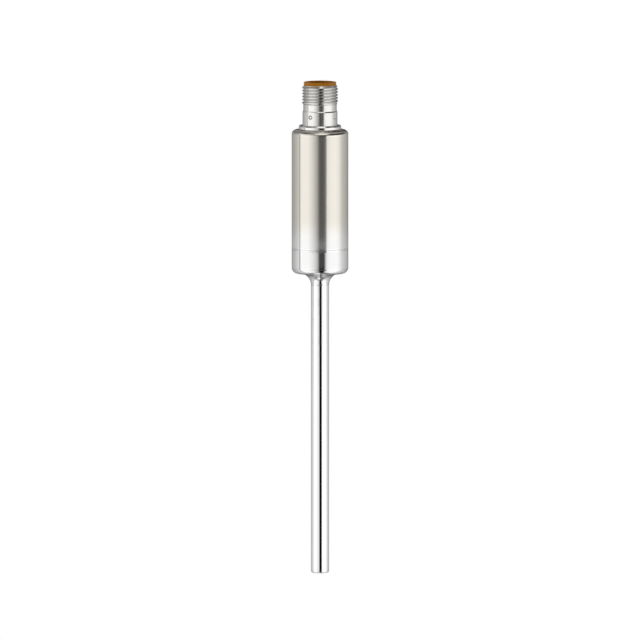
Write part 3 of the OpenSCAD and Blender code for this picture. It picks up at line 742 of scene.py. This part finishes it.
def shell_grids(s, w):
    """All surfaces of the connector shell.

    Three outlines turn round the axis, down the outside and up again inside. The thread and the
    bands with the window bores close the gaps between them.
    """
    neck_top_z = SHELL_HIGH.z - s.thread_len
    band_top_z = neck_top_z - s.neck_len
    collar_top_z = band_top_z - s.band_len
    sleeve_top_z = collar_top_z - s.collar_h
    window_z = band_top_z - w.drop
    ledge_z = band_top_z - s.ledge_drop
    groove_z = sleeve_top_z - settings("housing").top_t / 2
    groove_low, groove_high = groove_z - s.groove_w / 2, groove_z + s.groove_w / 2
    band_r, bore_r, light_r = s.band_d / 2, s.bore_d / 2, s.light_bore_d / 2
    collar_r, neck_r, groove_r = SHELL_HIGH.x, s.neck_d / 2, band_r - s.groove_depth
    start, edge = WINDOW_ANGLES[0], s.edge_break
    # The panels round the windows end below them and just under the ledge
    below_window, below_ledge, panel_rows, panels_per_turn = 1.15 * MM, 0.1 * MM, 20, 9
    panel_low, panel_high = window_z - below_window, ledge_z - below_ledge
    hole, mouth = w.diameter / 2, w.diameter / 2 + w.chamfer

    upper = rounded([
        (neck_r, neck_top_z, 0),
        (neck_r, band_top_z, 0),
        (band_r - s.band_chamfer, band_top_z, 0),
        (band_r, band_top_z - s.bevel_slope * s.band_chamfer, 0),
        (band_r, panel_high, 0),
    ])
    lower = rounded([
        (band_r, panel_low, 0),
        (band_r, collar_top_z, s.foot_round),
        (collar_r - s.collar_bevel, collar_top_z, 2 * edge),
        (collar_r, collar_top_z - s.bevel_slope * s.collar_bevel, 2 * edge),
        (collar_r, sleeve_top_z, s.collar_foot_round),
        (band_r, sleeve_top_z, 0),
        (band_r, groove_high, 0),
        (groove_r, groove_high, edge),
        (groove_r, groove_low, edge),
        (band_r, groove_low, 0),
        (band_r, SHELL_LOW.z, edge),
        (light_r, SHELL_LOW.z, edge),
        (light_r, panel_low, 0),
    ])
    inner = rounded([
        (light_r, panel_high, 0),
        (light_r, ledge_z, 0),
        (bore_r, ledge_z, 0),
        (bore_r, SHELL_HIGH.z, edge),
        (s.thread_d / 2 - s.lead_in, SHELL_HIGH.z, 0),
    ])
    panel = (window_z, s.columns, panel_rows, s.columns // panels_per_turn)
    outside, spin = pierced_band(band_r, panel_low, panel_high, mouth, *panel)
    inside, _ = pierced_band(light_r, panel_low, panel_high, hole, *panel)
    walls = bore_walls([(mouth, band_r, 0), (hole, band_r, w.chamfer), (hole, light_r, 0)], spin, window_z)
    plain = [turned(outline, s.columns, start) for outline in (upper, lower, inner)]
    return thread_grids(s, start) + plain + outside + inside + walls


class TRANSMITTER_OT_signal_windows(Operator):
    """Four clear plugs, each with a lens in a ring groove painted dark as shade, in the shell's window
    bores
    """

    bl_idname = "transmitter.signal_windows"
    bl_label = "Signal Windows"

    def execute(self, context):
        w, s = settings("window"), settings("shell")
        # The clear plastic has a faint painted glow, and the second finish paints the ring groove dark as
        # shade
        clear, painted_shade = clear_plastic(), painted_shade_groove()
        back, face = s.light_bore_d / 2, s.band_d / 2 - w.recess
        plug_r, lens_r = w.diameter / 2 - w.gap, w.lens_d / 2
        ring_r, ring_z = lens_r + w.ring_w, face - w.ring_depth
        ring_round, edge_round, lens_rows = 0.02 * MM, 0.05 * MM, 9
        # The lens falls from its crown with the square of the radius
        share = np.linspace(0, 1, lens_rows)
        lens = np.stack([lens_r * share, face + w.crown * (1 - share * share)], axis=1)
        groove = rounded([
            (lens_r, face, 0),
            (lens_r, ring_z, ring_round),
            (ring_r, ring_z, ring_round),
            (ring_r, face, 0),
        ])
        edge = rounded([(ring_r, face, 0), (plug_r, face, edge_round), (plug_r, back, 0), (0, back, 0)])
        for number, angle in enumerate(WINDOW_ANGLES, 1):
            front, ring, side = (
                lying(turned(outline, w.columns), angle, WINDOW_MIDDLE.z)
                for outline in (lens, groove, edge))
            # The ring groove wears the dark finish, which is painted shade
            plug = skin(f"window_plug_{number}", [front, side], [ring])
            fit(plug, "clear_plastic", f"led_window_{number}", clear, painted_shade)
        return {"FINISHED"}


def lying(surface, angle, height):
    """A surface of revolution laid down: its axis points outward at the angle and the height."""
    return outward(surface[..., 2], surface[..., 1], height + surface[..., 0], angle)


class TRANSMITTER_OT_housing_sleeve(Operator):
    """Satin sleeve with a rounded shoulder"""

    bl_idname = "transmitter.housing_sleeve"
    bl_label = "Housing Sleeve"

    def execute(self, context):
        h = settings("housing")
        out_r, low, high = SLEEVE_HIGH.x, SLEEVE_LOW.z, SLEEVE_HIGH.z
        hole_r = settings("shell").band_d / 2 + h.slip
        body = rounded([
            (hole_r, high, 0),
            (out_r, high, h.shoulder_round),
            (out_r, low + SEAM_SPAN * h.seam_reach, 0),
        ])[:-1]
        inside = [(out_r - h.wall, low), (out_r - h.wall, high - h.top_t), (hole_r, high - h.top_t)]
        outline = closed(np.concatenate([body, seam_rows(out_r, low, 1)[::-1], inside]))
        grid = turned(outline, h.columns, relief=seam_relief)
        fit(skin("sleeve_shell", [grid]), "satin_steel", "housing_sleeve", satin_steel())
        return {"FINISHED"}


# The wall has closer rows within this many reaches of the weld
SEAM_SPAN = 4


def seam_rows(out_r, seam_z, side):
    """Outline points beside the weld, closer together towards it. Side is 1 above and -1 below."""
    nearest, rows = 0.02 * MM, 16
    farthest = SEAM_SPAN * settings("housing").seam_reach
    away = np.concatenate([[0], np.geomspace(nearest, farthest, rows)])
    return np.stack([np.full(len(away), out_r), seam_z + side * away], axis=1)


def seam_relief(r, angle, z):
    """How far the outer wall lies inside its outline beside the weld seam.

    A small V follows the weld. The wall beside it sinks by a bell curve of the height. Two sines
    of the angle ripple the sink, and where the weld's end overlaps its start it is deeper and a
    sine of height and angle twists it.
    """
    h = settings("housing")
    waves, wave_sink, fine_waves, fine_sink = 23, 0.25, 57, 0.2
    overlap_half, overlap_sink, twists, twist_rise, twist_sink = math.radians(9), 1.6, 30, 3, 0.8
    away = z - SLEEVE_LOW.z
    groove = np.maximum(0, h.seam_v - np.abs(away))
    bell = np.exp(-(away / h.seam_reach) ** 2)
    ripple = 1 + wave_sink * np.sin(waves * angle) + fine_sink * np.sin(fine_waves * angle + 1)
    off = np.angle(np.exp(1j * (angle - h.overlap_angle)))
    overlap = np.exp(-(off / overlap_half) ** 2)
    swirl = 1 + twist_sink * np.sin(away / h.seam_reach * twist_rise + off * twists)
    sink = h.seam_sink * bell * (ripple + overlap_sink * overlap * swirl)
    return np.where(r > SLEEVE_HIGH.x - h.wall / 2, groove + np.maximum(sink, 0), 0)


class TRANSMITTER_OT_housing_base(Operator):
    """Polished base, whose underside sweeps into the stem"""

    bl_idname = "transmitter.housing_base"
    bl_label = "Housing Base"

    def execute(self, context):
        h, stem = settings("housing"), settings("stem")
        out_r, seam_z, stem_r = SLEEVE_HIGH.x, SLEEVE_LOW.z, TUBE_HIGH.x
        lip_r = out_r - h.wall - h.slip
        spigot_r = stem_r - stem.wall - h.slip
        underside_z = h.neck_round
        floor_z = underside_z + h.floor_t
        outer = rounded([
            (out_r, seam_z - SEAM_SPAN * h.seam_reach, 0),
            (out_r, underside_z, h.base_round),
            (stem_r, underside_z, h.neck_round),
            (stem_r, 0, 0),
        ], steps=16)[1:]
        hidden = [
            (spigot_r, 0),
            (spigot_r, BASE_LOW.z),
            (spigot_r - h.spigot_wall, BASE_LOW.z),
            (spigot_r - h.spigot_wall, floor_z),
            (lip_r - h.wall, floor_z),
            (lip_r - h.wall, BASE_HIGH.z),
            (lip_r, BASE_HIGH.z),
            (lip_r, seam_z),
        ]
        outline = closed(np.concatenate([seam_rows(out_r, seam_z, -1), outer[:-1], hidden]))
        grid = turned(outline, h.columns, relief=seam_relief)
        fit(skin("base_cup", [grid]), "polished_steel", "housing_base", polished_steel())
        return {"FINISHED"}


class TRANSMITTER_OT_probe_stem(Operator):
    """Drawn stem tube and the cap that closes its tip"""

    bl_idname = "transmitter.probe_stem"
    bl_label = "Probe Stem"

    def execute(self, context):
        s = settings("stem")
        finish = drawn_tube_steel()
        out_r, bore_r = TUBE_HIGH.x, TUBE_HIGH.x - s.wall
        wall = np.linspace(TUBE_HIGH.z - s.weld_v, TUBE_LOW.z + s.weld_v, s.rings)
        tube = np.concatenate([
            [(out_r - s.weld_v, TUBE_HIGH.z)],
            np.stack([np.full(s.rings, out_r), wall], axis=1),
            [(out_r - s.weld_v, TUBE_LOW.z), (bore_r, TUBE_LOW.z), (bore_r, TUBE_HIGH.z)],
        ])
        fit(skin("stem_tube", [turned(closed(tube), s.columns)]), "polished_steel", "probe_tube", finish)
        plug_r = bore_r - settings("housing").slip
        cap = rounded([
            (0, TIP_LOW.z, 0),
            (out_r, TIP_LOW.z, s.tip_round),
            (out_r, TUBE_LOW.z - s.weld_v, 0),
            (out_r - s.weld_v, TUBE_LOW.z, 0),
            (plug_r, TUBE_LOW.z, 0),
            (plug_r, TIP_HIGH.z, 0),
            (0, TIP_HIGH.z, 0),
        ])
        fit(skin("stem_cap", [turned(closed(cap), s.columns)]), "polished_steel", "tip_cap", finish)
        return {"FINISHED"}


class TRANSMITTER_OT_contacts(Operator):
    """Finishes of the amber contact carrier and its gilded pins"""

    bl_idname = "transmitter.contacts"
    bl_label = "Contact Carrier and Pins"

    def execute(self, context):
        dress({"amber_plastic": amber_plastic(), "gilded_contact": gilded_contact()})
        return {"FINISHED"}


# Moulded and cast finishes by slot: roughness, grains in a metre, and the grain's depth in mm
MOULDED = {
    "seal_rubber": (0.6, 6000.0, 0.01),
    "signal_light": (0.3, 2000.0, 0.002),
    "board_laminate": (0.35, 1500.0, 0.01),
    "flex_film": (0.25, 1500.0, 0.004),
    "holder_plastic": (0.5, 4000.0, 0.01),
    "chip_black": (0.5, 8000.0, 0.008),
    "capacitor_yellow": (0.45, 6000.0, 0.008),
    "capacitor_tan": (0.4, 6000.0, 0.004),
    "plug_silicone": (0.6, 3000.0, 0.01),
    "lead_red": (0.4, 3000.0, 0.004),
    "lead_white": (0.4, 3000.0, 0.004),
    "sensor_ceramic": (0.35, 5000.0, 0.004),
    "filler_compound": (0.7, 5000.0, 0.02),
}


class TRANSMITTER_OT_inner_pieces(Operator):
    """Finishes of the seals, boards, components, leads and sensor inside the housing"""

    bl_idname = "transmitter.inner_pieces"
    bl_label = "Inner Pieces"

    def execute(self, context):
        dress({slot: moulded(slot, *values) for slot, values in MOULDED.items()})
        return {"FINISHED"}


class TRANSMITTER_OT_studio(Operator):
    """Pale floor, rings of soft light all round, and the camera"""

    bl_idname = "transmitter.studio"
    bl_label = "Studio"

    def execute(self, context):
        s, scene = settings("studio"), context.scene
        add_camera(scene, s)
        add_floor(scene, s)
        scene.world = ring_light()
        scene.view_settings.view_transform = "Standard"
        return {"FINISHED"}


def add_camera(scene, s):
    """Camera in front of the object, raised by the elevation and aimed at the axis."""
    lens = bpy.data.cameras.new("studio_camera")
    lens.lens, lens.sensor_width = s.lens, s.sensor
    lens.clip_start, lens.clip_end = 0.05, 50
    distance = s.frame_width * s.lens / s.sensor
    back = Vector((0, -math.cos(s.elevation), math.sin(s.elevation)))
    camera = bpy.data.objects.new("studio_camera", lens)
    camera.location = Vector((0, 0, s.aim_z)) + back * distance
    camera.rotation_euler = (-back).to_track_quat("-Z", "Y").to_euler()
    scene.collection.objects.link(camera)
    scene.camera = camera


def add_floor(scene, s):
    """Pale floor below the tip. It shows only from above and isn't mirrored in the steel."""
    half, z = s.floor_size / 2, CAD_BOX[0].z - s.floor_gap
    mesh = bpy.data.meshes.new("studio_floor")
    corners = [(-half, -half, z), (half, -half, z), (half, half, z), (-half, half, z)]
    mesh.from_pydata(corners, [], [(0, 1, 2, 3)])
    floor = bpy.data.objects.new("studio_floor", mesh)
    scene.collection.objects.link(floor)
    finish, tree = new_finish("pale_floor")
    pale = blend_colour(tree, clouds(tree, 3.0, 2.0), (0.9, 0.9, 0.9, 1), (0.94, 0.94, 0.94, 1))
    finished(
        finish, Roughness=0.9, Emission_Color=(1, 1, 1, 1), Emission_Strength=0.66, Base_Color=pale)
    below = add_node(tree, "NewGeometry").outputs["Backfacing"]
    clear = add_node(tree, "BsdfTransparent").outputs["BSDF"]
    solid = tree.nodes["Principled BSDF"].outputs["BSDF"]
    mix = add_node(tree, "MixShader", below, solid, clear)
    fill(tree, tree.nodes["Material Output"], Surface=mix.outputs["Shader"])
    mesh.materials.append(finish)
    for ray in ("glossy", "diffuse", "transmission", "shadow"):
        setattr(floor, "visible_" + ray, False)


# Rings of soft light: brightness in percent at angles in degrees from the front towards +X
NADIR_RING = {-180: 95, -30: 100, -12: 130, -4: 120, 4: 30, 30: 35, 60: 22, 180: 20}
FLOOR_RING = {
    -180: 32, -90: 30, -75: 42, -60: 55, -40: 62, -10: 60, -2: 30, 4: 12, 30: 14, 50: 28, 72: 15,
    94: 30, 130: 33, 180: 32,
}
LOW_RING = {
    -180: 40, -136: 43, -102: 50, -92: 62, -80: 72, -56: 86, -41: 66, -25: 45, -8: 30, -2: 8, 20: 6,
    26: 18, 41: 50, 56: 90, 69: 105, 80: 92, 92: 75, 102: 55, 130: 50, 150: 42, 180: 40,
}
LEVEL_RING = {
    -180: 10, -165: 25, -153: 40, -139: 48, -120: 60, -105: 76, -94: 86, -93: 12, -89: 12, -88: 122,
    -50: 122, -39: 114, -31: 103, -26.6: 95, -22: 82, -18: 70, -10: 47, -6: 27, -2: 3, 0: 0.5, 17: 0.5,
    18.5: 30, 22: 58, 26.6: 84, 31: 106, 43: 122, 76: 124, 84: 112, 98: 82, 112: 70, 139: 50, 180: 10,
}
STEM_RING = {
    -180: 10, -165: 30, -139: 55, -112: 75, -100: 80, -90: 95, -82: 125, -45: 125, -32: 103, -19: 97,
    -13: 90, -3: 1, 0: 0, 21.5: 0, 24.5: 120, 74: 124, 92: 105, 112: 72, 139: 50, 180: 10,
}
SIDE_RING = {
    -180: 10, -165: 25, -153: 36, -139: 41, -120: 53, -105: 66, -94: 78, -93: 35, -89: 35, -88: 122,
    -52: 122, -43.6: 110, -35: 95, -26.6: 79, -18.3: 57, -10: 38, -6: 22, -2: 10, 10: 9, 18: 10,
    26.6: 10, 27.6: 120, 35: 115, 43.6: 130, 65: 134, 76: 124, 87: 112, 93: 93, 99: 75, 112: 60,
    139: 41, 180: 10,
}
RAISED_RING = {
    -180: 55, -175: 42, -172: 27, -160: 22, -140: 24, -110: 40, -100: 55, -94: 90, -72: 100, -50: 95,
    -42: 80, -27: 56, -14: 31, -2: 18, 10: 16, 23: 9, 35: 20, 45: 25, 52: 6, 60: 1, 95: 2, 106: 6,
    119: 10, 134: 20, 154: 24, 162: 12, 167: 3, 175.5: 1, 177: 30, 178.5: 58, 180: 58,
}
HIGH_RING = {
    -180: 30, -165: 22, -157: 28, -129: 22, -110: 25, -88: 14, -70: 14, -56: 35, -31: 35, -24: 50,
    -17: 110, 30: 125, 36: 90, 42: 35, 52: 4, 64: 6, 76: 30, 85: 44, 92: 20, 97: 12, 112: 20, 127: 42,
    135: 35, 142: 18, 150: 5, 176: 3, 180: 30,
}
UPPER_RING = {
    -180: 17, -167: 14, -156: 32, -146: 47, -135: 36, -120: 20, -90: 14, -78: 14, -67: 24, -53: 39,
    -33: 58, 75: 66, 84: 50, 100: 30, 131: 26, 138: 12, 148: 9, 159: 17, 180: 17,
}
ZENITH_RING = {-180: 20, -30: 20, -18: 170, 75: 170, 90: 20, 180: 20}
# Each ring with the height in degrees above which it lies
LIGHT_RINGS = [
    (-76, FLOOR_RING), (-66, LOW_RING), (-56, LEVEL_RING), (-18, SIDE_RING), (-8, LEVEL_RING),
    (-6.8, STEM_RING), (-5.6, LEVEL_RING), (-4.7, SIDE_RING),
    (11, RAISED_RING), (34, HIGH_RING), (56, UPPER_RING), (79, ZENITH_RING),
]


def ring_of_light(tree, turn, stops):
    """Brightness round one ring: a colour ramp over the turn, with its stops in percent."""
    ramp = add_node(tree, "ValToRGB", turn)
    elements = ramp.color_ramp.elements
    while len(elements) < len(stops):
        elements.new(0.5)
    for element, (angle, level) in zip(elements, stops.items()):
        element.position = (angle + 180) / 360
        element.color = (level / 100,) * 3 + (1,)
    return ramp.outputs["Color"]


def ring_light():
    """World light: rings of soft light from straight below to straight above.

    A direction's angle from the front is the arctangent of X over -Y, and its height is Z. Each
    ring is laid over those below it, by a step that is sharpest on the horizon. The camera itself
    sees plain white.
    """
    # Half a step's arc in radians: on the horizon, its growth with the height, and at most
    sharpest, growth, softest = 0.0015, 0.01, 0.01
    world = bpy.data.worlds.new("soft_panels")
    world.use_nodes = True
    tree = world.node_tree
    tree.nodes.clear()
    direction = add_node(tree, "TexCoord").outputs["Generated"]
    x, y, z = add_node(tree, "SeparateXYZ", direction).outputs
    angle = maths(tree, "ARCTAN2", x, maths(tree, "MULTIPLY", y, -1))
    turn = maths(tree, "MULTIPLY_ADD", angle, 0.5 / math.pi, 0.5)
    colour = ring_of_light(tree, turn, NADIR_RING)
    for degree, stops in LIGHT_RINGS:
        height = math.radians(degree)
        edge = math.sin(height)
        soft = min(softest, sharpest + growth * abs(edge)) * math.cos(height)
        mask = soft_step(tree, z, edge - soft, edge + soft)
        colour = blend_colour(tree, mask, colour, ring_of_light(tree, turn, stops))
    light = add_node(tree, "Background", colour).outputs["Background"]
    plain = add_node(tree, "Background", (1, 1, 1, 1)).outputs["Background"]
    seen = add_node(tree, "LightPath").outputs["Is Camera Ray"]
    mix = add_node(tree, "MixShader", seen, light, plain)
    add_node(tree, "OutputWorld", mix.outputs["Shader"])
    return world


class TRANSMITTER_PT_build(Panel):
    """Buttons that build each piece and the studio"""

    bl_label = "Temperature Transmitter"
    bl_idname = "TRANSMITTER_PT_build"
    bl_space_type = "VIEW_3D"
    bl_region_type = "UI"
    bl_category = "Transmitter"

    def draw(self, context):
        for operator in OPERATORS:
            self.layout.operator(operator.bl_idname)


GROUPS = {
    "shell": ShellSettings, "window": WindowSettings, "housing": HousingSettings,
    "stem": StemSettings, "finish": FinishSettings, "studio": StudioSettings,
}
OPERATORS = (
    TRANSMITTER_OT_connector_shell,
    TRANSMITTER_OT_signal_windows,
    TRANSMITTER_OT_housing_sleeve,
    TRANSMITTER_OT_housing_base,
    TRANSMITTER_OT_probe_stem,
    TRANSMITTER_OT_contacts,
    TRANSMITTER_OT_inner_pieces,
    TRANSMITTER_OT_studio,
)
CLASSES = (*GROUPS.values(), *OPERATORS, TRANSMITTER_PT_build)


def register():
    """Registers all classes, and puts the settings on the scene."""
    for cls in CLASSES:
        bpy.utils.register_class(cls)
    for name, group in GROUPS.items():
        setattr(bpy.types.Scene, "transmitter_" + name, PointerProperty(type=group))


def unregister():
    """Takes the settings and all classes away again."""
    for name in GROUPS:
        delattr(bpy.types.Scene, "transmitter_" + name)
    for cls in reversed(CLASSES):
        bpy.utils.unregister_class(cls)


def main():
    """Builds every piece and the studio."""
    register()
    bpy.ops.transmitter.connector_shell()
    bpy.ops.transmitter.signal_windows()
    bpy.ops.transmitter.housing_sleeve()
    bpy.ops.transmitter.housing_base()
    bpy.ops.transmitter.probe_stem()
    bpy.ops.transmitter.contacts()
    bpy.ops.transmitter.inner_pieces()
    bpy.ops.transmitter.studio()


if __name__ == "__main__":
    main()
